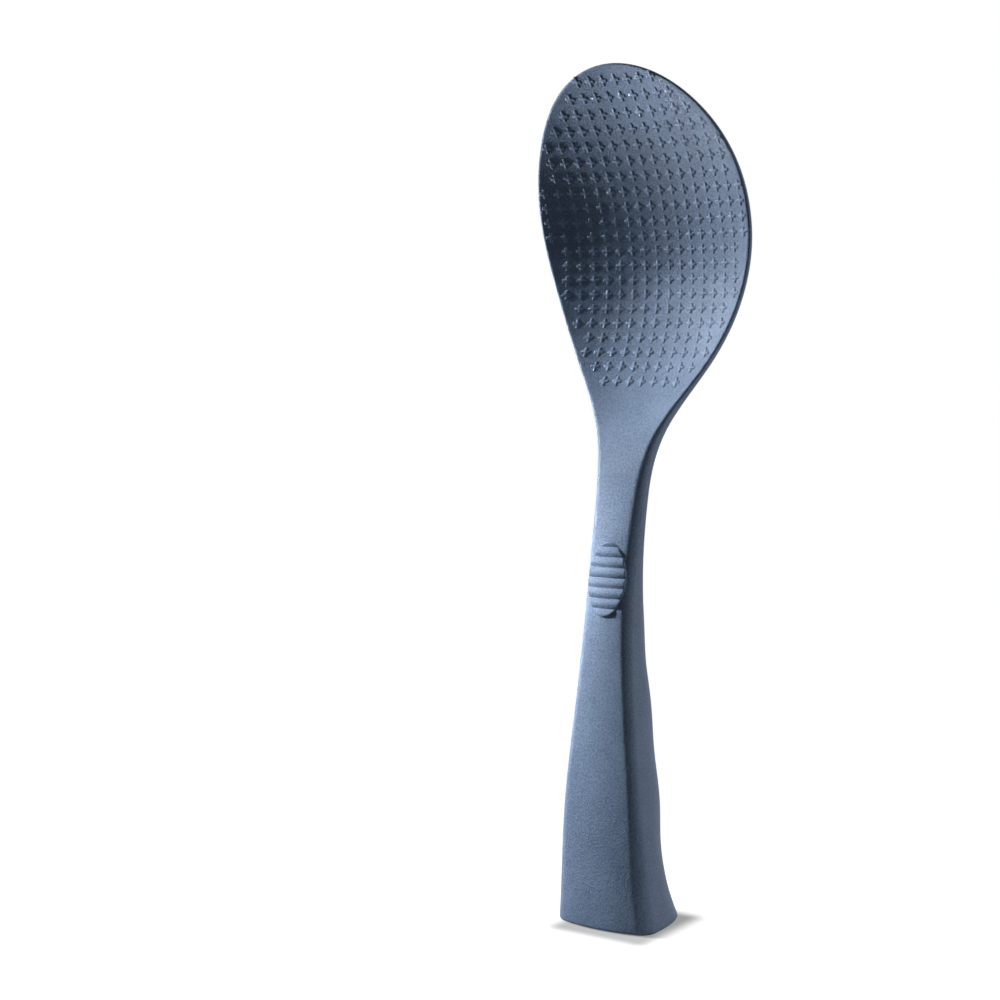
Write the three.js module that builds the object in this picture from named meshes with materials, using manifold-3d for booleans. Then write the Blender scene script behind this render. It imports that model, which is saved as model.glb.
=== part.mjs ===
// Self-standing silicone serving paddle: a scooped blade on a handle that ends in a weighted foot.
// Millimetres, +Z up. The bowl and the thumb pad face -Y. The origin is the middle of the foot's underside.
import * as THREE from 'three';
import { mergeVertices } from 'three/addons/utils/BufferGeometryUtils.js';
import Module from 'manifold-3d';

const wasm = await Module();
wasm.setup();

// Overall sizes: the handle ends at the throat, where the blade begins
const HANDLE_LENGTH = 132;
const BLADE_LENGTH = 94.5;
const BLADE_WIDTH = 64;
const FOOT_WIDTH = 29.6;
const FOOT_DEPTH = 28.4;
const HEIGHT = HANDLE_LENGTH + BLADE_LENGTH;

const onHandle = (share) => HANDLE_LENGTH * share;
const onBlade = (share) => HANDLE_LENGTH + BLADE_LENGTH * share;
const ofBlade = (share) => (BLADE_WIDTH / 2) * share;

// Half of the front width, up to the widest place: [height, half width]
const WIDEST_HEIGHT = onBlade(0.6);
const SIDE_STATIONS = [
  [onHandle(0), FOOT_WIDTH / 2],
  [onHandle(0.09), 13.5],
  [onHandle(0.23), 11.9],
  [onHandle(0.455), 8.95],
  [onHandle(0.68), 7.1],
  [onHandle(0.85), 7.3],
  [onHandle(1), 10],
  [onBlade(0.19), ofBlade(0.635)],
  [onBlade(0.38), ofBlade(0.89)],
  [WIDEST_HEIGHT, ofBlade(1)],
];

// Front surface on the middle plane, from the foot to the tip: [height, y]
const FRONT_STATIONS = [
  [onHandle(0), -FOOT_DEPTH / 2],
  [onHandle(0.23), -15],
  [onHandle(0.455), -13.4],
  [onHandle(0.68), -10.6],
  [onHandle(0.85), -6.15],
  [onHandle(1), 0.3],
  [onBlade(0.19), 10.5],
  [onBlade(0.4), 15.9],
  [onBlade(0.61), 12.5],
  [onBlade(0.825), 2.7],
  [HEIGHT, -10.3],
];

// Depth from the front surface to the back surface on the middle plane: [height, depth]
const DEPTH_STATIONS = [
  [onHandle(0), FOOT_DEPTH],
  [onHandle(0.09), 22.6],
  [onHandle(0.23), 21.8],
  [onHandle(0.455), 18.1],
  [onHandle(0.68), 12.1],
  [onHandle(0.85), 7.8],
  [onHandle(1), 8.5],
  [onBlade(0.19), 6.7],
  [onBlade(0.455), 3.6],
  [HEIGHT, 2.6],
];

// Hollow across the front, as millimetres forward for each square millimetre of x: [height, hollow]
const DISH_STATIONS = [
  [onHandle(0), -0.0125],
  [onHandle(0.455), -0.0145],
  [onHandle(0.85), -0.0125],
  [onHandle(1), 0.0047],
  [onBlade(0.17), 0.0082],
  [onBlade(0.54), 0.0067],
  [HEIGHT, 0.0055],
];

// Edges of the level sections: fuller at the foot, then the handle's, which ease to the blade's around the throat
const FOOT_CORNER = 3.6;
const FOOT_FLARE = 45;
const HANDLE_CORNER = 2.5;
const BLADE_CORNER = 0.8;
const BLADE_RIM = 1.8;
const EASE_BELOW_THROAT = 27;
const EASE_ABOVE_THROAT = 18;
const BACK_SQUARENESS = 2.5;
const LEAST_CORNER = 0.4;
const FOOT_ROUNDING = 1;

// Finger waves down the back of the handle
const WAVE_HEIGHT = 0.5;
const WAVE_LENGTH = 26;
const WAVE_CREST = 33.4;
const WAVE_BOTTOM = 8;
const WAVE_TOP = 86;
const WAVE_FADE = 16;

// Ribbed thumb pad on the front of the handle
const PAD_BELOW_THROAT = 39;
const PAD_LENGTH = 19.5;
const PAD_WIDTH = 11.4;
const PAD_RAISE = 0.5;
const PAD_ROOT = 0.8;
const PAD_TIP = 0.15;
const RIB_PITCH = 2.68;
const RIB_RAISE = 0.35;
const GROOVE_ABOVE_MIDDLE = 0.5;

// Walls, and the gap that neighbouring pieces keep
const GAP = 0.3;
const SKIN_WALL = 1.8;
const CORE_WALL = 2;
const CAP_THICKNESS = 3;
const BALLAST_HEIGHT = 26;

// Handle core: a solid neck that holds the plate's tang, over a pocket for the ballast
const CORE_BELOW_THROAT = 4;
const TANG_GRIP = 48;
const TANG_FLOOR = 4;
const CORE_TOP = HANDLE_LENGTH - CORE_BELOW_THROAT;
const TANG_BOTTOM = CORE_TOP - TANG_GRIP;
const POCKET_TOP = TANG_BOTTOM - TANG_FLOOR;

// Steel plate that stiffens the blade, with holes where the skin's two faces join through it
const PLATE_THICKNESS = 0.8;
const PLATE_MARGIN = 11;
const PLATE_TOP = HEIGHT - PLATE_MARGIN;
const TANG_WIDTH = 6.8;
const LOCK_HOLE_RADIUS = 3.4;
const LOCK_HOLE_SPREAD = 10;
const LOCK_HOLE_ROWS = [onBlade(0.38), onBlade(0.55), onBlade(0.72)];

// Rivets through the handle core and the tang
const RIVET_RADIUS = 1.5;
const RIVET_FROM_TANG_END = 8;
const RIVET_SPACING = 15;
const LOWER_RIVET = TANG_BOTTOM + RIVET_FROM_TANG_END;
const UPPER_RIVET = LOWER_RIVET + RIVET_SPACING;

// Mesh steps
const LEVEL_STEP = 6;
const LEAST_STEP = 2;
const TIP_STEPS = 10;
const TIP_LAST_ANGLE = THREE.MathUtils.degToRad(85);
const OUTSIDE_STEPS = { front: 6, corner: 3, back: 9 };
const INSIDE_STEPS = { front: 3, corner: 2, back: 6 };
const FOOT_STEPS = 3;
const PLATE_STEPS = 6;
const PAD_STEPS = 4;
const RIB_STEPS = 4;
const ROUND_SIDES = 16;
const CUT_PAST = 12;

// Smooth curve through stations, straight at its two ends
function smoothCurve(stations) {
  const last = stations.length - 1;
  const bend = new Array(last + 1).fill(0);
  const carry = new Array(last + 1).fill(0);
  for (let i = 1; i < last; i += 1) {
    const below = stations[i][0] - stations[i - 1][0];
    const above = stations[i + 1][0] - stations[i][0];
    const slopeBelow = (stations[i][1] - stations[i - 1][1]) / below;
    const slopeAbove = (stations[i + 1][1] - stations[i][1]) / above;
    const pivot = 2 * (below + above) - below * carry[i - 1];
    carry[i] = above / pivot;
    bend[i] = (6 * (slopeAbove - slopeBelow) - below * bend[i - 1]) / pivot;
  }
  for (let i = last - 1; i > 0; i -= 1) {
    bend[i] -= carry[i] * bend[i + 1];
  }
  return (height) => {
    let i = 0;
    while (i < last - 1 && height > stations[i + 1][0]) i += 1;
    const span = stations[i + 1][0] - stations[i][0];
    const b = (height - stations[i][0]) / span;
    const a = 1 - b;
    const straight = a * stations[i][1] + b * stations[i + 1][1];
    const bow = (a ** 3 - a) * bend[i] + (b ** 3 - b) * bend[i + 1];
    return straight + (bow * span * span) / 6;
  };
}

// The station below the widest place is mirrored above it, so that the outline is upright there
const [belowWidest] = SIDE_STATIONS.slice(-2);
const aboveWidest = [2 * WIDEST_HEIGHT - belowWidest[0], belowWidest[1]];
const sideLine = smoothCurve([...SIDE_STATIONS, aboveWidest]);
const frontLine = smoothCurve(FRONT_STATIONS);
const plainDepth = smoothCurve(DEPTH_STATIONS);
const dishAt = smoothCurve(DISH_STATIONS);

// Half of the front width at a height, less a margin: a curve up to the widest place, then half an ellipse
function halfWidth(z, margin = 0) {
  if (z <= WIDEST_HEIGHT) return sideLine(z) - margin;
  const share = (z - WIDEST_HEIGHT) / (HEIGHT - margin - WIDEST_HEIGHT);
  return (BLADE_WIDTH / 2 - margin) * Math.sqrt(Math.max(0, 1 - share * share));
}

function depthAt(z) {
  const fadeIn = THREE.MathUtils.clamp((z - WAVE_BOTTOM) / WAVE_FADE, 0, 1);
  const fadeOut = THREE.MathUtils.clamp((WAVE_TOP - z) / WAVE_FADE, 0, 1);
  const wave = Math.cos((2 * Math.PI * (z - WAVE_CREST)) / WAVE_LENGTH);
  return plainDepth(z) + WAVE_HEIGHT * fadeIn * fadeOut * wave;
}

function frontY(x, z) {
  return frontLine(z) - dishAt(z) * x * x;
}

// One level section, drawn inwards by inset: front face, rounded front corners, rounded back
function section(z, inset, steps = INSIDE_STEPS) {
  const easeFrom = HANDLE_LENGTH - EASE_BELOW_THROAT;
  const ease = THREE.MathUtils.smoothstep(z, easeFrom, HANDLE_LENGTH + EASE_ABOVE_THROAT);
  const flare = THREE.MathUtils.smoothstep(z, 0, FOOT_FLARE);
  const handleCorner = THREE.MathUtils.lerp(FOOT_CORNER, HANDLE_CORNER, flare);
  const half = halfWidth(z) - inset;
  const corner = THREE.MathUtils.lerp(handleCorner, BLADE_CORNER, ease) - inset;
  const radius = Math.min(Math.max(corner, LEAST_CORNER), half / 2);
  const rim = Math.max(THREE.MathUtils.lerp(handleCorner, BLADE_RIM, ease) - inset, radius);
  const depth = depthAt(z) - 2 * inset;
  const edge = half - radius;
  const right = [];
  for (let i = 0; i < steps.front; i += 1) {
    const x = (edge * i) / steps.front;
    right.push([x, frontY(x, z) + inset]);
  }
  for (let i = 0; i < steps.corner; i += 1) {
    const angle = (Math.PI / 2) * (i / steps.corner);
    const x = edge + radius * Math.sin(angle);
    right.push([x, frontY(edge, z) + inset + radius * (1 - Math.cos(angle))]);
  }
  for (let i = 0; i <= steps.back; i += 1) {
    const angle = (Math.PI / 2) * (i / steps.back);
    const x = i === steps.back ? 0 : half * Math.cos(angle) ** (2 / BACK_SQUARENESS);
    const bulge = Math.sin(angle) ** (2 / BACK_SQUARENESS);
    right.push([x, frontY(x, z) + inset + rim + (depth - rim) * bulge]);
  }
  const left = right.slice(1, -1).reverse().map(([x, y]) => [-x, y]);
  return [...right, ...left].map(([x, y]) => new THREE.Vector3(x, y, z));
}

// Ring round a strip that spans the middle plane: its front from left to right, then its back
function stripRing(z, half, steps, nearY, farY) {
  const across = Array.from({ length: steps + 1 }, (_, i) => half * ((2 * i) / steps - 1));
  const near = across.map((x) => new THREE.Vector3(x, nearY(x), z));
  const far = across.map((x) => new THREE.Vector3(x, farY(x), z)).reverse();
  return [...near, ...far];
}

// Closed solid through rings of points that run anticlockwise seen from above
function loft(rings) {
  const count = rings[0].length;
  const positions = rings.flat().flatMap((point) => point.toArray());
  const triangles = [];
  for (let r = 0; r < rings.length - 1; r += 1) {
    for (let i = 0; i < count; i += 1) {
      const a = r * count + i;
      const b = r * count + ((i + 1) % count);
      triangles.push(a, b, b + count, a, b + count, a + count);
    }
  }
  const lid = (ring) => THREE.ShapeUtils.triangulateShape(ring.map((p) => new THREE.Vector2(p.x, p.y)), []);
  for (const [a, b, c] of lid(rings[0])) triangles.push(c, b, a);
  const top = (rings.length - 1) * count;
  for (const [a, b, c] of lid(rings.at(-1))) triangles.push(top + a, top + b, top + c);
  const geometry = new THREE.BufferGeometry();
  geometry.setAttribute('position', new THREE.Float32BufferAttribute(positions, 3));
  geometry.setIndex(triangles);
  return toSolid(geometry);
}

function toSolid(geometry) {
  geometry.deleteAttribute('normal');
  geometry.deleteAttribute('uv');
  const merged = mergeVertices(geometry);
  return new wasm.Manifold(new wasm.Mesh({
    numProp: 3,
    vertProperties: new Float32Array(merged.attributes.position.array),
    triVerts: new Uint32Array(merged.index.array),
  }));
}

function toGeometry(solid) {
  const mesh = solid.getMesh();
  const geometry = new THREE.BufferGeometry();
  geometry.setAttribute('position', new THREE.BufferAttribute(mesh.vertProperties, 3));
  geometry.setIndex(new THREE.BufferAttribute(mesh.triVerts, 1));
  geometry.computeVertexNormals();
  return geometry;
}

// Heights from one level to another, through the whole steps between them that every piece shares
function levels(from, to) {
  const between = [];
  for (let z = LEVEL_STEP * Math.ceil(from / LEVEL_STEP); z < to; z += LEVEL_STEP) {
    if (z - from > LEAST_STEP && to - z > LEAST_STEP) between.push(z);
  }
  return [from, ...between, to];
}

// Heights from the widest place to the top of an ellipse, closer together towards the top
function tipLevels(top) {
  return Array.from({ length: TIP_STEPS }, (_, i) => {
    const angle = (TIP_LAST_ANGLE * (i + 1)) / TIP_STEPS;
    return WIDEST_HEIGHT + (top - WIDEST_HEIGHT) * Math.sin(angle);
  });
}

// Handle-shaped solid between two levels, drawn inwards by inset
function handleSolid(from, to, inset) {
  return loft(levels(from, to).map((z) => section(z, inset)));
}

// Round bar along Y
function barAlongY(radius, x, z, nearY, farY) {
  const bar = new THREE.CylinderGeometry(radius, radius, farY - nearY, ROUND_SIDES);
  return toSolid(bar.translate(x, (nearY + farY) / 2, z));
}

// Outside of the skin, from its rounded foot to its tip
function skinOutside() {
  const foot = Array.from({ length: FOOT_STEPS }, (_, i) => {
    const angle = (Math.PI / 2) * (i / FOOT_STEPS);
    const inset = FOOT_ROUNDING * (1 - Math.sin(angle));
    return section(FOOT_ROUNDING * (1 - Math.cos(angle)), inset, OUTSIDE_STEPS);
  });
  const upright = [...levels(FOOT_ROUNDING, WIDEST_HEIGHT), ...tipLevels(HEIGHT)];
  return loft([...foot, ...upright.map((z) => section(z, 0, OUTSIDE_STEPS))]);
}

// Heights over the pad's middle groove: its two blunt tips, and the same few places on every rib between them
function padLevels() {
  const top = PAD_LENGTH / 2 - PAD_TIP - GROOVE_ABOVE_MIDDLE;
  const bottom = PAD_TIP - PAD_LENGTH / 2 - GROOVE_ABOVE_MIDDLE;
  const step = RIB_PITCH / RIB_STEPS;
  const between = [];
  for (let z = step * Math.ceil(bottom / step + 0.5); z < top - step / 2; z += step) between.push(z);
  return [bottom, ...between, top];
}

// Oval pad with ribs across it, rooted in the front of the handle
function thumbPad() {
  const groove = HANDLE_LENGTH - PAD_BELOW_THROAT + GROOVE_ABOVE_MIDDLE;
  const rings = padLevels().map((above) => {
    const z = groove + above;
    const share = (above + GROOVE_ABOVE_MIDDLE) / (PAD_LENGTH / 2);
    const half = (PAD_WIDTH / 2) * Math.sqrt(1 - share * share);
    const rib = RIB_RAISE * (0.5 - 0.5 * Math.cos((2 * Math.PI * above) / RIB_PITCH));
    const nearY = (x) => frontY(x, z) - PAD_RAISE - rib;
    const farY = (x) => frontY(x, z) + PAD_ROOT;
    return stripRing(z, half, PAD_STEPS, nearY, farY);
  });
  return loft(rings);
}

// Blade plate with its tang, made larger all round by grow
function plateSolid(grow) {
  const [lowest, ...upright] = levels(TANG_BOTTOM, WIDEST_HEIGHT);
  const rings = [lowest - grow, ...upright, ...tipLevels(PLATE_TOP + grow)].map((z) => {
    const half = Math.max(TANG_WIDTH / 2 + grow, halfWidth(z, PLATE_MARGIN - grow));
    const middleY = (x) => frontY(x, z) + depthAt(z) / 2;
    const reach = PLATE_THICKNESS / 2 + grow;
    return stripRing(z, half, PLATE_STEPS, (x) => middleY(x) - reach, (x) => middleY(x) + reach);
  });
  return loft(rings);
}

// Bars through the plate's lock holes
function lockBars(radius) {
  const bars = [];
  for (const z of LOCK_HOLE_ROWS) {
    for (const x of [-LOCK_HOLE_SPREAD, LOCK_HOLE_SPREAD]) {
      const y = frontY(x, z);
      bars.push(barAlongY(radius, x, z, y - CUT_PAST, y + CUT_PAST));
    }
  }
  return wasm.Manifold.union(bars);
}

// Bar through the handle at a rivet's height, short of the core's faces by shortBy at each end
function rivetBar(z, radius, shortBy) {
  const nearY = frontLine(z) + SKIN_WALL + GAP + shortBy;
  const farY = frontLine(z) + depthAt(z) - SKIN_WALL - GAP - shortBy;
  return barAlongY(radius, 0, z, nearY, farY);
}

function rivetHoles() {
  const radius = RIVET_RADIUS + GAP;
  return rivetBar(LOWER_RIVET, radius, -CUT_PAST).add(rivetBar(UPPER_RIVET, radius, -CUT_PAST));
}

// The pieces
function siliconeSkin() {
  const handleSpace = handleSolid(-FOOT_ROUNDING, CORE_TOP + GAP, SKIN_WALL);
  const plateSpace = plateSolid(GAP).subtract(lockBars(LOCK_HOLE_RADIUS - GAP));
  return skinOutside().add(thumbPad()).subtract(handleSpace).subtract(plateSpace);
}

function bladePlate() {
  return plateSolid(0).subtract(lockBars(LOCK_HOLE_RADIUS)).subtract(rivetHoles());
}

function handleCore() {
  const inset = SKIN_WALL + GAP;
  const pocket = handleSolid(0, POCKET_TOP, inset + CORE_WALL);
  const body = handleSolid(CAP_THICKNESS + GAP, CORE_TOP, inset);
  return body.subtract(pocket).subtract(plateSolid(GAP)).subtract(rivetHoles());
}

function ballastWeight() {
  const bottom = CAP_THICKNESS + GAP;
  return handleSolid(bottom, bottom + BALLAST_HEIGHT, SKIN_WALL + CORE_WALL + 2 * GAP);
}

function baseCap() {
  return handleSolid(0, CAP_THICKNESS, SKIN_WALL + GAP);
}

// Materials
const silicone = new THREE.MeshStandardMaterial({ color: 0x4f6687, roughness: 0.62, metalness: 0 });
const nylon = new THREE.MeshStandardMaterial({ color: 0x2b2f36, roughness: 0.55, metalness: 0 });
const dyedNylon = new THREE.MeshStandardMaterial({ color: 0x3f5271, roughness: 0.55, metalness: 0 });
const steel = new THREE.MeshStandardMaterial({ color: 0xb4b8bc, roughness: 0.35, metalness: 1 });
const castIron = new THREE.MeshStandardMaterial({ color: 0x5b5d60, roughness: 0.7, metalness: 1 });

const group = new THREE.Group();

function addPiece(name, solid, material) {
  const mesh = new THREE.Mesh(toGeometry(solid), material);
  mesh.name = name;
  group.add(mesh);
}

addPiece('silicone_skin', siliconeSkin(), silicone);
addPiece('blade_plate', bladePlate(), steel);
addPiece('handle_core', handleCore(), nylon);
addPiece('tang_rivet_lower', rivetBar(LOWER_RIVET, RIVET_RADIUS, GAP), steel);
addPiece('tang_rivet_upper', rivetBar(UPPER_RIVET, RIVET_RADIUS, GAP), steel);
addPiece('ballast_weight', ballastWeight(), castIron);
addPiece('base_cap', baseCap(), dyedNylon);

export default group;
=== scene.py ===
# %% [markdown]
# # A serving paddle that stands on its own foot
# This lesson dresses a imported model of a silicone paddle: a scooped blade covered in small raised
# crosses, a ribbed thumb pad, and a handle that flares to a weighted foot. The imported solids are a
# fixed frame. Every piece made here is placed in that frame, in metres, and the frame isn't moved.

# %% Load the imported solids
import math

import bpy
import numpy as np
from mathutils import Matrix, Vector


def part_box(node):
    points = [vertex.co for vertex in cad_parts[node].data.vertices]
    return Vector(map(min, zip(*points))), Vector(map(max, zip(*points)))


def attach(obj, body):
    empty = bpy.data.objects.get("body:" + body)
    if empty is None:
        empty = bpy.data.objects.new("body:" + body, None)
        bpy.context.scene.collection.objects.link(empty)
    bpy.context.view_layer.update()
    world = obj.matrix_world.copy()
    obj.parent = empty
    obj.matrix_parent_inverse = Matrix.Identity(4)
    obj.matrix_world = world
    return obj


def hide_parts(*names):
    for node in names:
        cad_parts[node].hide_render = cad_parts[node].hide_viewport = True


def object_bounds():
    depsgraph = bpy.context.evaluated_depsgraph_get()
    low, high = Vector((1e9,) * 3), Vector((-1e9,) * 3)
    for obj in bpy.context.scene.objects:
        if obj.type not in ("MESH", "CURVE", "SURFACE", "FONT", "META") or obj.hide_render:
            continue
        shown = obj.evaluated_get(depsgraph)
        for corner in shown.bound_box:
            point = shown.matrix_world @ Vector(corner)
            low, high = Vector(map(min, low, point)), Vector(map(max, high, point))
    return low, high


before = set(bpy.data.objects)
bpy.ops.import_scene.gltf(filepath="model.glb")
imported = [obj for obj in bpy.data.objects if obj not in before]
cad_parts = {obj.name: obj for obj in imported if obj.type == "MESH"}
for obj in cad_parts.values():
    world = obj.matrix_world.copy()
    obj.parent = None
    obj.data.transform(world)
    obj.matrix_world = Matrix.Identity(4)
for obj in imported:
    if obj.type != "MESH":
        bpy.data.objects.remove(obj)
cad_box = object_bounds()
print("solids:", ", ".join(sorted(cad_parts)))
print("size in mm:", [round(1000 * side, 1) for side in cad_box[1] - cad_box[0]])

# %% [markdown]
# ## The camera
# The photograph looks at the paddle from its front right, a little from above, with a long lens. A
# camera can be turned by angles or aimed at a point. Here its three axes are worked out from the two
# angles, because they then make the rotation matrix directly, and the camera stands back along its
# own axis from the point that the picture's middle falls on.

# %% Place the camera
CAMERA_TURN = math.radians(34.82)
CAMERA_RISE = math.radians(4.81)
CAMERA_DISTANCE = 0.5126
PICTURE_MIDDLE = Vector((-0.02753, -0.01915, 0.11325))
LENS_MM = 69.5
SENSOR_MM = 36


def direction(turn, rise):
    """Unit vector from the paddle: turn goes from the front to the right, rise goes up."""
    level = math.cos(rise)
    return Vector((math.sin(turn) * level, -math.cos(turn) * level, math.sin(rise)))


camera_data = bpy.data.cameras.new("camera")
camera_data.lens = LENS_MM
camera_data.sensor_width = SENSOR_MM
camera = bpy.data.objects.new("camera", camera_data)
bpy.context.scene.collection.objects.link(camera)
backward = direction(CAMERA_TURN, CAMERA_RISE)
rightward = Vector((math.cos(CAMERA_TURN), math.sin(CAMERA_TURN), 0))
axes = Matrix((rightward, backward.cross(rightward), backward)).transposed()
camera.matrix_world = Matrix.Translation(PICTURE_MIDDLE + CAMERA_DISTANCE * backward) @ axes.to_4x4()
bpy.context.scene.camera = camera
print("camera at", [round(place, 3) for place in camera.matrix_world.translation])

# %% [markdown]
# ## The curves that shape the paddle
# The real paddle is one moulding, so its whole skin follows a few smooth curves that run from the
# foot to the tip: how wide it is, where its front lies, how deep it is and how hollow its front is.
# The solids were lofted through the same curves in coarse steps. Stations with a smooth curve through
# them give the fine surface the same shape. All these sizes are in millimetres.

# %% A smooth curve through stations
MM = 0.001


def smooth_curve(stations):
    """Natural cubic curve through (height, value) stations."""
    at, value = np.array(stations, float).T
    span = np.diff(at)
    rise = np.diff(value) / span
    system = np.eye(len(at))
    pull = np.zeros(len(at))
    for i in range(1, len(at) - 1):
        system[i, i - 1:i + 2] = span[i - 1], 2 * (span[i - 1] + span[i]), span[i]
        pull[i] = 6 * (rise[i] - rise[i - 1])
    bend = np.linalg.solve(system, pull)

    def curve(height):
        i = np.clip(np.searchsorted(at, height) - 1, 0, len(span) - 1)
        b = (height - at[i]) / span[i]
        a = 1 - b
        bow = (a ** 3 - a) * bend[i] + (b ** 3 - b) * bend[i + 1]
        return a * value[i] + b * value[i + 1] + bow * span[i] ** 2 / 6

    return curve


# %% Width, front, depth and hollow
skin_low, skin_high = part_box("silicone_skin")
HEIGHT = skin_high.z / MM
HALF_BLADE = (skin_high.x - skin_low.x) / 2 / MM
HANDLE = 132
FOOT_WIDTH = 29.6
FOOT_DEPTH = 28.4


def on_blade(share):
    """Height at a share of the way from the throat to the tip."""
    return HANDLE + (HEIGHT - HANDLE) * share


WIDEST = on_blade(0.6)
shoulder_height = on_blade(0.38)
shoulder = 0.89 * HALF_BLADE
side_line = smooth_curve([
    (0, FOOT_WIDTH / 2), (0.09 * HANDLE, 13.5), (0.23 * HANDLE, 11.9), (0.455 * HANDLE, 8.95),
    (0.68 * HANDLE, 7.1), (0.85 * HANDLE, 7.3), (HANDLE, 10), (on_blade(0.19), 0.635 * HALF_BLADE),
    (shoulder_height, shoulder), (WIDEST, HALF_BLADE), (2 * WIDEST - shoulder_height, shoulder),
])
front_line = smooth_curve([
    (0, -FOOT_DEPTH / 2), (0.23 * HANDLE, -15), (0.455 * HANDLE, -13.4), (0.68 * HANDLE, -10.6),
    (0.85 * HANDLE, -6.15), (HANDLE, 0.3), (on_blade(0.19), 10.5), (on_blade(0.4), 15.9),
    (on_blade(0.61), 12.5), (on_blade(0.825), 2.7), (HEIGHT, -10.3),
])
plain_depth = smooth_curve([
    (0, FOOT_DEPTH), (0.09 * HANDLE, 22.6), (0.23 * HANDLE, 21.8), (0.455 * HANDLE, 18.1),
    (0.68 * HANDLE, 12.1), (0.85 * HANDLE, 7.8), (HANDLE, 8.5), (on_blade(0.19), 6.7),
    (on_blade(0.455), 3.6), (HEIGHT, 2.6),
])
hollow = smooth_curve([
    (0, -0.0125), (0.455 * HANDLE, -0.0145), (0.85 * HANDLE, -0.0125), (HANDLE, 0.0047),
    (on_blade(0.17), 0.0082), (on_blade(0.54), 0.0067), (HEIGHT, 0.0055),
])
print(f"blade {2 * HALF_BLADE:.1f} mm wide at {WIDEST:.1f} mm, throat depth {plain_depth(HANDLE):.1f} mm")

# %% [markdown]
# ## The front and the back of the skin
# On the blade the front of the skin is a shallow trough, and down the handle it is slightly crowned.
# The back is a fuller curve. Both fall away in a rounded edge: a soft corner down the handle, a thin
# rim round the blade. A bevel on a mesh would need a clean edge loop. Here the rounding is part of the
# formula: it depends on the distance to the outline, so the rim stays even all the way round the tip.

# %% Finger waves and distance to the outline
WAVE_HEIGHT = 0.5
WAVE_LENGTH = 26
WAVE_CREST = 33.4
WAVE_BOTTOM = 8
WAVE_TOP = 86
WAVE_FADE = 16
NUDGE = 0.01
LEAST_STEEPNESS = NUDGE / HEIGHT


def depth_at(z):
    """Depth with the finger waves down the back."""
    fade_in = np.clip((z - WAVE_BOTTOM) / WAVE_FADE, 0, 1)
    fade_out = np.clip((WAVE_TOP - z) / WAVE_FADE, 0, 1)
    wave = np.cos(2 * np.pi * (z - WAVE_CREST) / WAVE_LENGTH)
    return plain_depth(z) + WAVE_HEIGHT * fade_in * fade_out * wave


def side_at(z, inset=0):
    """Half width up to the widest place, and the half width there above it."""
    return side_line(np.minimum(z, WIDEST)) - inset


def tip_share(z):
    """0 up to the widest place, 1 at the tip."""
    return np.maximum(z - WIDEST, 0) / (HEIGHT - WIDEST)


def rim_share(x, z, inset=0):
    """0 on the middle line, 1 on the outline. The outline above the widest place is half an ellipse."""
    return np.hypot(x / side_at(z, inset), tip_share(z))


def edge_distance(x, z, inset=0):
    """Distance in from the outline: what is left of the share over how steeply the share changes."""
    across = rim_share(x + NUDGE, z, inset) - rim_share(x - NUDGE, z, inset)
    upward = rim_share(x, z + NUDGE, inset) - rim_share(x, z - NUDGE, inset)
    steepness = np.hypot(across, upward) / (2 * NUDGE)
    return (1 - rim_share(x, z, inset)) / np.maximum(steepness, LEAST_STEEPNESS)


# %% Front and back surfaces
FOOT_CORNER = 3.6
FOOT_FLARE = 45
HANDLE_CORNER = 2.5
BLADE_CORNER = 0.8
BLADE_RIM = 1.8
LEAST_CORNER = 0.4
EASE_BELOW = 27
EASE_ABOVE = 18
BACK_SQUARENESS = 2.5


def ease(z, low, high):
    """0 below the low height, 1 above the high one, smooth between them."""
    share = np.clip((z - low) / (high - low), 0, 1)
    return share * share * (3 - 2 * share)


def blade_share(z):
    """0 on the handle, 1 on the blade, smooth through the throat."""
    return ease(z, HANDLE - EASE_BELOW, HANDLE + EASE_ABOVE)


def corner_at(z, blade_value):
    """Fuller at the foot, then the handle's corner, which turns into the blade's through the throat."""
    handle_value = FOOT_CORNER + (HANDLE_CORNER - FOOT_CORNER) * ease(z, 0, FOOT_FLARE)
    return handle_value + (blade_value - handle_value) * blade_share(z)


def round_off(distance, radius):
    """How far a rounded edge falls away at a distance inside the outline."""
    reach = np.clip(1 - distance / np.maximum(radius, NUDGE), 0, 1)
    return radius * (1 - np.sqrt(1 - reach ** 2))


def plain_front(x, z):
    """Front before its edge is rounded: hollow on the blade, slightly crowned on the handle."""
    return front_line(z) - hollow(z) * x ** 2


def skin_front(x, z, inset=0):
    """Front of the skin, or of the pocket that lies inside it by inset."""
    corner = np.maximum(corner_at(z, BLADE_CORNER) - inset, LEAST_CORNER)
    return plain_front(x, z) + inset + round_off(edge_distance(x, z, inset), corner)


def skin_back(x, z, inset=0):
    """Back of the skin, or of the pocket that lies inside it by inset."""
    corner = np.maximum(corner_at(z, BLADE_CORNER) - inset, LEAST_CORNER)
    rim = np.maximum(corner_at(z, BLADE_RIM) - inset, corner)
    share = np.minimum(rim_share(x, z, inset), 1)
    bulge = (1 - share ** BACK_SQUARENESS) ** (1 / BACK_SQUARENESS)
    swell = rim + (depth_at(z) - 2 * inset - rim) * bulge
    rim_rounding = round_off(edge_distance(x, z, inset), BLADE_CORNER * blade_share(z))
    return plain_front(x, z) + inset + swell - rim_rounding


bowl_middle = on_blade(0.4)
bowl_depth = plain_front(0, bowl_middle) - plain_front(HALF_BLADE, bowl_middle)
print(f"middle of the bowl lies {bowl_depth:.1f} mm in")

# %% [markdown]
# ## The silicone skin
# The skin is moulded round a stiff core that fills it from below, so it is a sock: closed at the tip
# and open at the foot. It could be a solid with its pocket cut by a boolean, which leaves ragged
# edges. One loft is cleaner: its rings start at the closed top of the pocket, run down inside, turn
# out under the foot's rim and climb the outside to the tip.

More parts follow.
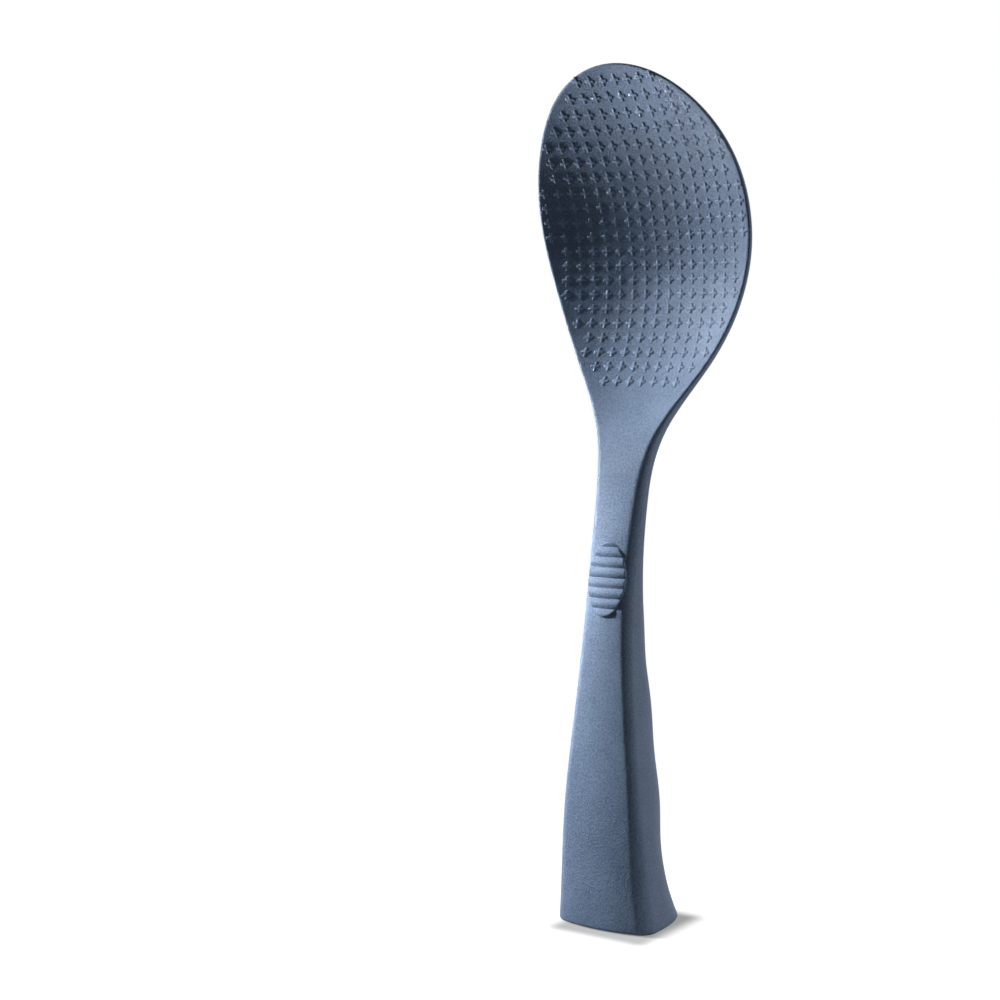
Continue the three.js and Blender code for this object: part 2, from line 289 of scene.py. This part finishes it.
# %% Helpers that turn rings of points into a closed mesh
ACROSS_STEPS = 56
SHARP_ANGLE = math.radians(50)


def across(half, steps=ACROSS_STEPS):
    """Places from left to right, closer together towards both edges."""
    return half * np.sin(np.linspace(-np.pi / 2, np.pi / 2, steps + 1))


def ring_of(x, z, front, back):
    """Closed ring: the front from left to right, then the back. The two share their end points."""
    middle = (front + back) / 2
    near = np.concatenate([middle[:1], front[1:-1], middle[-1:]])
    around_x = np.concatenate([x, x[-2:0:-1]])
    around_y = np.concatenate([near, back[-2:0:-1]])
    return np.stack([around_x, around_y, np.broadcast_to(z, around_x.shape)], 1)


def lid(count, start):
    """Faces that close a ring, each joining a stretch of its front to the back behind it."""
    faces = []
    for i in range(count // 2):
        corners = (i, i + 1, (count - i - 1) % count, (count - i) % count)
        faces.append(tuple(start + corner for corner in dict.fromkeys(corners)))
    return faces


def wall_faces(rows, count, start=0):
    """Faces between neighbouring rings, the first of which begins at point start."""
    faces = []
    for low in range(start, start + (rows - 1) * count, count):
        for i in range(count):
            j = (i + 1) % count
            faces.append((low + i, low + j, low + count + j, low + count + i))
    return faces


def loft_faces(rows, count):
    """Faces of rings that are closed at both ends."""
    bottom = [face[::-1] for face in lid(count, 0)]
    return bottom + wall_faces(rows, count) + lid(count, (rows - 1) * count)


def make_piece(name, points_mm, faces):
    """Smooth mesh piece from points in millimetres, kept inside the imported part's box."""
    mesh = bpy.data.meshes.new(name)
    points = np.clip(np.asarray(points_mm) * MM, cad_box[0], cad_box[1])
    mesh.from_pydata(points.tolist(), [], faces)
    mesh.validate()
    mesh.shade_smooth()
    mesh.set_sharp_from_angle(angle=SHARP_ANGLE)
    piece = bpy.data.objects.new(name, mesh)
    bpy.context.scene.collection.objects.link(piece)
    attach(piece, "root")
    print(name, len(mesh.vertices), "points,", len(mesh.polygons), "faces")
    return piece


# %% Loft the skin
SKIN_WALL = 1.8
POCKET_TOP = 128.3
POCKET_ROWS = 24
FOOT_ROUNDING = 1
FOOT_ROWS = 5
UPRIGHT_STEP = 0.8
TIP_ROWS = 46
TIP_LAST_ANGLE = math.radians(89.4)


def half_width(z):
    """Half width of the outline, which closes at the tip."""
    return side_at(z) * np.sqrt(1 - tip_share(z) ** 2)


def skin_ring(z, inset=0.0):
    x = across(half_width(z) - inset)
    return ring_of(x, z, skin_front(x, z, inset), skin_back(x, z, inset))


pocket = [skin_ring(z, SKIN_WALL) for z in np.linspace(POCKET_TOP, 0, POCKET_ROWS)]
turns = np.linspace(0, np.pi / 2, FOOT_ROWS, endpoint=False)
foot = [skin_ring(FOOT_ROUNDING * (1 - math.cos(a)), FOOT_ROUNDING * (1 - math.sin(a))) for a in turns]
upright_rows = round((WIDEST - FOOT_ROUNDING) / UPRIGHT_STEP)
upright = [skin_ring(z) for z in np.linspace(FOOT_ROUNDING, WIDEST, upright_rows)]
tip_angles = np.linspace(0, TIP_LAST_ANGLE, TIP_ROWS + 1)[1:]
tip = [skin_ring(WIDEST + (HEIGHT - WIDEST) * math.sin(a)) for a in tip_angles]
skin_rings = pocket + foot + upright + tip
skin_faces = loft_faces(len(skin_rings), len(skin_rings[0]))
skin = make_piece("skin", np.concatenate(skin_rings), skin_faces)
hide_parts("silicone_skin")

# %% [markdown]
# ## The crosses on the blade
# Rows of low crosses keep cooked rice from sticking to the blade. An instance on every grid point
# would keep them flat, but the bowl is curved. So each cross is drawn as an outline in the plane of
# the mould's opening, laid on the front surface point by point and raised along the surface's own
# direction. Its sides slope gently, so that the camera sees both the lit and the shaded ones, and
# its root is sunk in the skin.

# %% Outline of one cross
CROSS_REACH = 1.36
CROSS_HALF_ARM = 0.46
CROSS_END_ROUND = 0.3
CROSS_INNER_ROUND = 0.1
END_STEPS = 3


def cross_outline(shrink):
    """Outline of a cross, anticlockwise, drawn in by shrink."""
    reach = CROSS_REACH - shrink
    half = CROSS_HALF_ARM - shrink
    bend = max(CROSS_END_ROUND - shrink, CROSS_INNER_ROUND)
    arm = [(half + CROSS_INNER_ROUND, -half)]
    for corner, begin in ((-1, -np.pi / 2), (1, 0)):
        for angle in np.linspace(begin, begin + np.pi / 2, END_STEPS):
            centre_y = corner * (half - bend)
            arm.append((reach - bend + bend * math.cos(angle), centre_y + bend * math.sin(angle)))
    arm.append((half + CROSS_INNER_ROUND, half))
    outline = []
    for quarter in range(4):
        c, s = round(math.cos(quarter * np.pi / 2)), round(math.sin(quarter * np.pi / 2))
        outline += [(c * x - s * y, s * x + c * y) for x, y in arm]
    return np.array(outline)


print("points round a cross:", len(cross_outline(0)))

# %% Lay the crosses on the blade
COLUMN_PITCH = 3.7
ROW_PITCH = 3.9
MIDDLE_ROW_HEIGHT = 183.5
CROSSES_BESIDE_MIDDLE = (3, 4, 5, 6, 7, 7, 7, 8, 8, 8, 8, 7, 7, 7, 7, 6, 6, 5, 5, 4, 3)
CROSS_HEIGHT = 0.22
CROSS_RINGS = ((-0.3, 0), (0, 0), (0.42, 0.1), (0.78, 0.2), (1, 0.34))


def raised(x, z, height):
    """Points on the blade's front, raised by a height along the surface's own direction."""
    slope_x = (plain_front(x + NUDGE, z) - plain_front(x - NUDGE, z)) / (2 * NUDGE)
    slope_z = (plain_front(x, z + NUDGE) - plain_front(x, z - NUDGE)) / (2 * NUDGE)
    outward = np.stack([slope_x, -np.ones_like(x), slope_z], 1)
    outward /= np.linalg.norm(outward, axis=1)[:, None]
    return np.stack([x, plain_front(x, z), z], 1) + height * outward


def cross_at(x, z):
    rings = []
    for level, shrink in CROSS_RINGS:
        outline = cross_outline(shrink)
        rings.append(raised(x + outline[:, 0], z + outline[:, 1], level * CROSS_HEIGHT))
    return rings


cross_points = []
cross_faces = []
around = len(cross_outline(0))
for row, beside in enumerate(CROSSES_BESIDE_MIDDLE):
    z = MIDDLE_ROW_HEIGHT + (len(CROSSES_BESIDE_MIDDLE) // 2 - row) * ROW_PITCH
    for column in range(-beside, beside + 1):
        start = len(cross_points) * around
        top = start + (len(CROSS_RINGS) - 1) * around
        cross_faces += wall_faces(len(CROSS_RINGS), around, start)
        cross_faces.append(tuple(range(start + around - 1, start - 1, -1)))
        cross_faces.append(tuple(range(top, top + around)))
        cross_points += cross_at(column * COLUMN_PITCH, z)
crosses = make_piece("blade_crosses", np.concatenate(cross_points), cross_faces)
print("crosses:", len(cross_points) // len(CROSS_RINGS))

# %% [markdown]
# ## The thumb pad
# The pad is a low oval on the front of the handle with round ribs across it, so that a wet thumb
# doesn't slip. Ribs could be a bump in the material, but then the oval's edge would be straight. On
# the real pad the ribs end in the edge and scallop it, so they are in the mesh: rows of points across
# the oval, raised by the rib's profile and rounded off towards the oval's edge.

# %% Make the thumb pad
PAD_MIDDLE = 93
PAD_LENGTH = 19.5
PAD_WIDTH = 11.4
PAD_FLOOR = 0.06
PAD_ROOT = 0.8
PAD_EDGE_ROUND = 0.35
RIB_RAISE = 0.55
RIB_PITCH = 2.68
GROOVE_ABOVE_MIDDLE = 0.5
RIB_FULLNESS = 0.85
PAD_ROWS = 150
PAD_STEPS = 40
PAD_LAST_ANGLE = math.radians(88)


def rib_at(z):
    """Round ribs with narrow grooves between them."""
    phase = np.pi * (z - PAD_MIDDLE - GROOVE_ABOVE_MIDDLE) / RIB_PITCH
    return RIB_RAISE * np.abs(np.sin(phase)) ** RIB_FULLNESS


def pad_ring(angle):
    z = PAD_MIDDLE + PAD_LENGTH / 2 * math.sin(angle)
    half = PAD_WIDTH / 2 * math.cos(angle)
    x = across(half, PAD_STEPS)
    share = np.hypot(x / (PAD_WIDTH / 2), math.sin(angle))
    steepness = np.hypot(x / (PAD_WIDTH / 2) ** 2, math.sin(angle) / (PAD_LENGTH / 2))
    edge = (1 - share) * share / np.maximum(steepness, NUDGE)
    raise_by = PAD_FLOOR + rib_at(z)
    fall = round_off(edge, PAD_EDGE_ROUND) / PAD_EDGE_ROUND
    front = plain_front(x, z) - raise_by * (1 - fall)
    return ring_of(x, z, front, plain_front(x, z) + PAD_ROOT)


pad_rings = [pad_ring(a) for a in np.linspace(-PAD_LAST_ANGLE, PAD_LAST_ANGLE, PAD_ROWS)]
pad = make_piece("thumb_pad", np.concatenate(pad_rings), loft_faces(PAD_ROWS, 2 * PAD_STEPS))

# %% [markdown]
# ## The base cap
# A flat plug closes the pocket under the foot, and the paddle stands on it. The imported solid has
# coarse corners, and from below its outline shows beside the skin's fine one. So the cap is lofted
# again from the skin's own rings, with a clearance all round and a small bevel on its lower edge.

# %% Make the base cap
CAP_CLEARANCE = 0.3
CAP_BEVEL = 0.3
CAP_THICKNESS = 3
cap_inset = SKIN_WALL + CAP_CLEARANCE
cap_levels = ((0, cap_inset + CAP_BEVEL), (CAP_BEVEL, cap_inset), (CAP_THICKNESS, cap_inset))
cap_rings = [skin_ring(z, inset) for z, inset in cap_levels]
cap = make_piece("foot_cap", np.concatenate(cap_rings), loft_faces(len(cap_rings), 2 * ACROSS_STEPS))
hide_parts("base_cap")

# %% [markdown]
# ## Finishes
# The skin is matte silicone from a spark-textured mould: a slate navy with a fine grain that makes
# tiny highlights and shadows, a fine speckle and a slight cloudiness of colour. The crosses are the
# same silicone, but their tops catch more light, so they get a paler mix: a painted highlight. An
# image could carry the grain, but it would need unwrapping. Noise in the object's own coordinates has
# the right size everywhere, so one helper makes every finish: two colours, a range of roughness, and a
# bump of a stated depth.

# %% A helper for grained finishes
CLOUD_DETAIL = 3
GRAIN_DETAIL = 2
SPECKLE_SHARE = 0.7
COLOUR_STOPS = (0.38, 0.62)
PLAIN_SHINE = 0.5


def finish(name, dark, light, cloud_mm, grain_mm, rough, bump_mm, strength, shine=PLAIN_SHINE, metal=0):
    """Material with speckled colour, grained roughness and a grain that stands out by bump_mm."""
    material = bpy.data.materials.new(name)
    material.use_nodes = True
    nodes, links = material.node_tree.nodes, material.node_tree.links
    shader = nodes["Principled BSDF"]
    shader.inputs["Specular IOR Level"].default_value = shine
    shader.inputs["Metallic"].default_value = metal
    place = nodes.new("ShaderNodeTexCoord")
    clouds = nodes.new("ShaderNodeTexNoise")
    clouds.inputs["Scale"].default_value = 1 / (cloud_mm * MM)
    clouds.inputs["Detail"].default_value = CLOUD_DETAIL
    grain = nodes.new("ShaderNodeTexNoise")
    grain.inputs["Scale"].default_value = 1 / (grain_mm * MM)
    grain.inputs["Detail"].default_value = GRAIN_DETAIL
    colours = nodes.new("ShaderNodeValToRGB")
    for element, colour, stop in zip(colours.color_ramp.elements, (dark, light), COLOUR_STOPS):
        element.color = (*colour, 1)
        element.position = stop
    speckle = nodes.new("ShaderNodeMix")
    speckle.inputs["Factor"].default_value = SPECKLE_SHARE
    roughness = nodes.new("ShaderNodeMapRange")
    roughness.inputs["To Min"].default_value, roughness.inputs["To Max"].default_value = rough
    bump = nodes.new("ShaderNodeBump")
    bump.inputs["Strength"].default_value = strength
    bump.inputs["Distance"].default_value = bump_mm * MM
    for texture in (clouds, grain):
        links.new(place.outputs["Object"], texture.inputs["Vector"])
    links.new(clouds.outputs["Fac"], speckle.inputs["A"])
    links.new(grain.outputs["Fac"], speckle.inputs["B"])
    links.new(speckle.outputs["Result"], colours.inputs["Fac"])
    links.new(colours.outputs["Color"], shader.inputs["Base Color"])
    links.new(grain.outputs["Fac"], roughness.inputs["Value"])
    links.new(roughness.outputs["Result"], shader.inputs["Roughness"])
    links.new(grain.outputs["Fac"], bump.inputs["Height"])
    links.new(bump.outputs["Normal"], shader.inputs["Normal"])
    return material


# %% Silicone for everything that shows above the foot
SILICONE_SHINE = 0.18
silicone = finish(
    "matte_silicone", dark=(0.098, 0.147, 0.235), light=(0.172, 0.243, 0.365), cloud_mm=9,
    grain_mm=0.45, rough=(0.45, 0.68), bump_mm=0.14, strength=1, shine=SILICONE_SHINE,
)
# A paler copy of the skin's silicone: painted highlight on the crosses' tops and lit sides.
painted_highlight_silicone = finish(
    "painted_highlight_silicone", dark=(0.138, 0.203, 0.318), light=(0.225, 0.31, 0.45), cloud_mm=9,
    grain_mm=0.35, rough=(0.45, 0.68), bump_mm=0.05, strength=1, shine=SILICONE_SHINE,
)
for piece, material in ((skin, silicone), (crosses, painted_highlight_silicone), (pad, silicone)):
    piece.data.materials.append(material)
print("silicone on", skin.name, crosses.name, pad.name)

# %% [markdown]
# ## Finishes of the pieces inside
# The stiffening plate and its rivets are plain steel, the core and the cap are moulded nylon, and the
# ballast is cast iron. On a whole paddle only the cap's underside shows, but someone may take the skin
# off. The same helper serves: metal is a metallic shader with a coarser or finer grain.

# %% Steel, nylon and iron
steel = finish(
    "rolled_steel", dark=(0.5, 0.51, 0.52), light=(0.6, 0.61, 0.62), cloud_mm=4,
    grain_mm=0.3, rough=(0.28, 0.4), bump_mm=0.01, strength=0.3, metal=1,
)
iron = finish(
    "cast_iron", dark=(0.09, 0.09, 0.095), light=(0.14, 0.14, 0.145), cloud_mm=3,
    grain_mm=0.7, rough=(0.55, 0.8), bump_mm=0.1, strength=0.6, metal=1,
)
core_nylon = finish(
    "black_nylon", dark=(0.027, 0.03, 0.036), light=(0.034, 0.037, 0.045), cloud_mm=8,
    grain_mm=0.5, rough=(0.42, 0.58), bump_mm=0.03, strength=0.4,
)
cap_nylon = finish(
    "navy_nylon", dark=(0.055, 0.083, 0.15), light=(0.065, 0.096, 0.17), cloud_mm=8,
    grain_mm=0.5, rough=(0.42, 0.58), bump_mm=0.03, strength=0.4,
)
cap.data.materials.append(cap_nylon)
INSIDE_FINISHES = {
    "blade_plate": steel, "tang_rivet_lower": steel, "tang_rivet_upper": steel,
    "handle_core": core_nylon, "ballast_weight": iron,
}
for node, material in INSIDE_FINISHES.items():
    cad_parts[node].material_slots[0].material = material
print("finishes inside:", ", ".join(f"{n} {m.name}" for n, m in INSIDE_FINISHES.items()))

# %% [markdown]
# ## Floor and background
# A product photograph like this stands on a white sweep that burns out to white, with only a soft
# shadow round the foot. A very bright floor would also light the paddle from below. So the floor is
# plain grey, which takes the lamps' shadows, and adds a glow that only rays from the camera and
# mirrored or transmitted rays see. The glow fades towards the foot, which paints a soft shadow round
# it, and the place where this painted shadow is darkest is drawn towards the camera, as the soft
# shadow in the photograph is.

# %% What the camera sees directly


def seen_directly(nodes, links):
    """1 for rays from the camera and for mirrored and transmitted rays, 0 for diffuse light."""
    path = nodes.new("ShaderNodeLightPath")
    total = path.outputs["Is Camera Ray"]
    for kind in ("Is Glossy Ray", "Is Transmission Ray"):
        most = nodes.new("ShaderNodeMath")
        most.operation = "MAXIMUM"
        links.new(total, most.inputs[0])
        links.new(path.outputs[kind], most.inputs[1])
        total = most.outputs["Value"]
    return total


def ramp_over(nodes, links, value, value_range, result_range):
    """Smooth ramp from one range of values to another."""
    ramp = nodes.new("ShaderNodeMapRange")
    ramp.interpolation_type = "SMOOTHSTEP"
    ramp.inputs["From Min"].default_value, ramp.inputs["From Max"].default_value = value_range
    ramp.inputs["To Min"].default_value, ramp.inputs["To Max"].default_value = result_range
    links.new(value, ramp.inputs["Value"])
    return ramp.outputs["Result"]


# %% Floor
FLOOR_SIZE = 6
FLOOR_DROP = 0.0001
# The shift, core and reach below set where the floor's glow dims round the foot: a painted shadow.
PAINTED_SHADOW_SHIFT = (0.0023, -0.0033, 0)
PAINTED_SHADOW_CORE = (0.0115, 0.0125, 0)
PAINTED_SHADOW_REACH = (0, 0.0065)
FLOOR_GLOW_WITH_PAINTED_SHADOW = (0.3, 1)
PALE_REACH = (0.015, 0.08)
FLOOR_GREY = (0.3, 0.25)
edge = FLOOR_SIZE / 2
floor_outline = ((-edge, -edge), (edge, -edge), (edge, edge), (-edge, edge))
floor_corners = [(x, y, -FLOOR_DROP) for x, y in floor_outline]
floor_mesh = bpy.data.meshes.new("floor")
floor_mesh.from_pydata(floor_corners, [], [(0, 1, 2, 3)])
floor = bpy.data.objects.new("floor", floor_mesh)
bpy.context.scene.collection.objects.link(floor)
sweep = bpy.data.materials.new("white_sweep")
sweep.use_nodes = True
nodes, links = sweep.node_tree.nodes, sweep.node_tree.links
sweep_shader = nodes["Principled BSDF"]
sweep_shader.inputs["Roughness"].default_value = 1
sweep_shader.inputs["Specular IOR Level"].default_value = 0
sweep_shader.inputs["Emission Color"].default_value = (1, 1, 1, 1)
floor_place = nodes.new("ShaderNodeTexCoord")
place = floor_place.outputs["Object"]
painted_shadow_steps = (
    ("SUBTRACT", PAINTED_SHADOW_SHIFT), ("ABSOLUTE", (0, 0, 0)),
    ("SUBTRACT", PAINTED_SHADOW_CORE), ("MAXIMUM", (0, 0, 0)),
)
for operation, amount in painted_shadow_steps:
    step = nodes.new("ShaderNodeVectorMath")
    step.operation = operation
    step.inputs[1].default_value = amount
    links.new(place, step.inputs[0])
    place = step.outputs["Vector"]
from_foot = nodes.new("ShaderNodeVectorMath")
from_foot.operation = "LENGTH"
links.new(place, from_foot.inputs["Vector"])
distance = from_foot.outputs["Value"]
links.new(ramp_over(nodes, links, distance, PALE_REACH, FLOOR_GREY), sweep_shader.inputs["Base Color"])
# The glow dims near the foot to paint a soft shadow there.
glow = nodes.new("ShaderNodeMath")
glow.operation = "MULTIPLY"
links.new(ramp_over(nodes, links, distance, PAINTED_SHADOW_REACH, FLOOR_GLOW_WITH_PAINTED_SHADOW), glow.inputs[0])
links.new(seen_directly(nodes, links), glow.inputs[1])
links.new(glow.outputs["Value"], sweep_shader.inputs["Emission Strength"])
floor_mesh.materials.append(sweep)
print("floor", FLOOR_SIZE, "m wide")

# %% White background and ambient light
AMBIENT = 0.06
world = bpy.data.worlds.new("studio")
bpy.context.scene.world = world
world.use_nodes = True
nodes, links = world.node_tree.nodes, world.node_tree.links
background = nodes["Background"]
background.inputs["Color"].default_value = (1, 1, 1, 1)
ambient_to_white = ramp_over(nodes, links, seen_directly(nodes, links), (0, 1), (AMBIENT, 1))
links.new(ambient_to_white, background.inputs["Strength"])
bpy.context.scene.view_settings.view_transform = "Standard"
print("ambient light", AMBIENT)

# %% [markdown]
# ## Studio light
# The photograph is lit from the left. The light grazes the blade, so the bowl's left half falls into
# shade and its right half and the throat catch the light. A single lamp that does this leaves the
# handle and the tip dull. So four small lamps with grids, which keep their beams narrow, stand at the
# left and share the work: one each for the blade, the handle, the throat and the tip. A wide lamp at
# the back right draws the handle's side, and a reflector low at the left lifts the shade a little.

# %% Lamps
LIGHT_AIM = Vector((0, 0, 0.13))
REFLECTOR_HEIGHT = 0.01


def soft_light(name, turn, rise, distance, size, power, spread=180, aim=LIGHT_AIM):
    """Square lamp that faces an aim from a direction in degrees. A small spread is a narrow beam."""
    lamp = bpy.data.lights.new(name, "AREA")
    lamp.shape = "SQUARE"
    lamp.size = size
    lamp.spread = math.radians(spread)
    lamp.energy = power
    light = bpy.data.objects.new(name, lamp)
    towards = direction(math.radians(turn), math.radians(rise))
    light.location = aim + distance * towards
    light.rotation_euler = towards.to_track_quat("Z", "Y").to_euler()
    bpy.context.scene.collection.objects.link(light)
    print(name, [round(place, 2) for place in light.location])
    return light


blade_aim = Vector((0, 0, 0.172))
soft_light(
    "blade_light", turn=-76, rise=12, distance=0.8,
    size=0.2, power=0.125, spread=12, aim=blade_aim,
)
handle_aim = Vector((0, 0, 0.042))
soft_light(
    "handle_light", turn=-66, rise=28, distance=0.8,
    size=0.1, power=0.096, spread=13, aim=handle_aim,
)
soft_light("throat_light", turn=-66, rise=22, distance=0.8, size=0.1, power=0.035, spread=5)
tip_aim = Vector((0, -0.005, 0.218))
soft_light(
    "tip_light", turn=-82, rise=-24, distance=0.4,
    size=0.04, power=0.008, spread=9, aim=tip_aim,
)
soft_light("back_fill", turn=120, rise=8, distance=1.2, size=0.6, power=5)
reflector = soft_light("floor_reflector", turn=-90, rise=0, distance=0.6, size=0.3, power=9)
reflector.location.z = REFLECTOR_HEIGHT
reflector.rotation_euler = (math.pi, 0, 0)
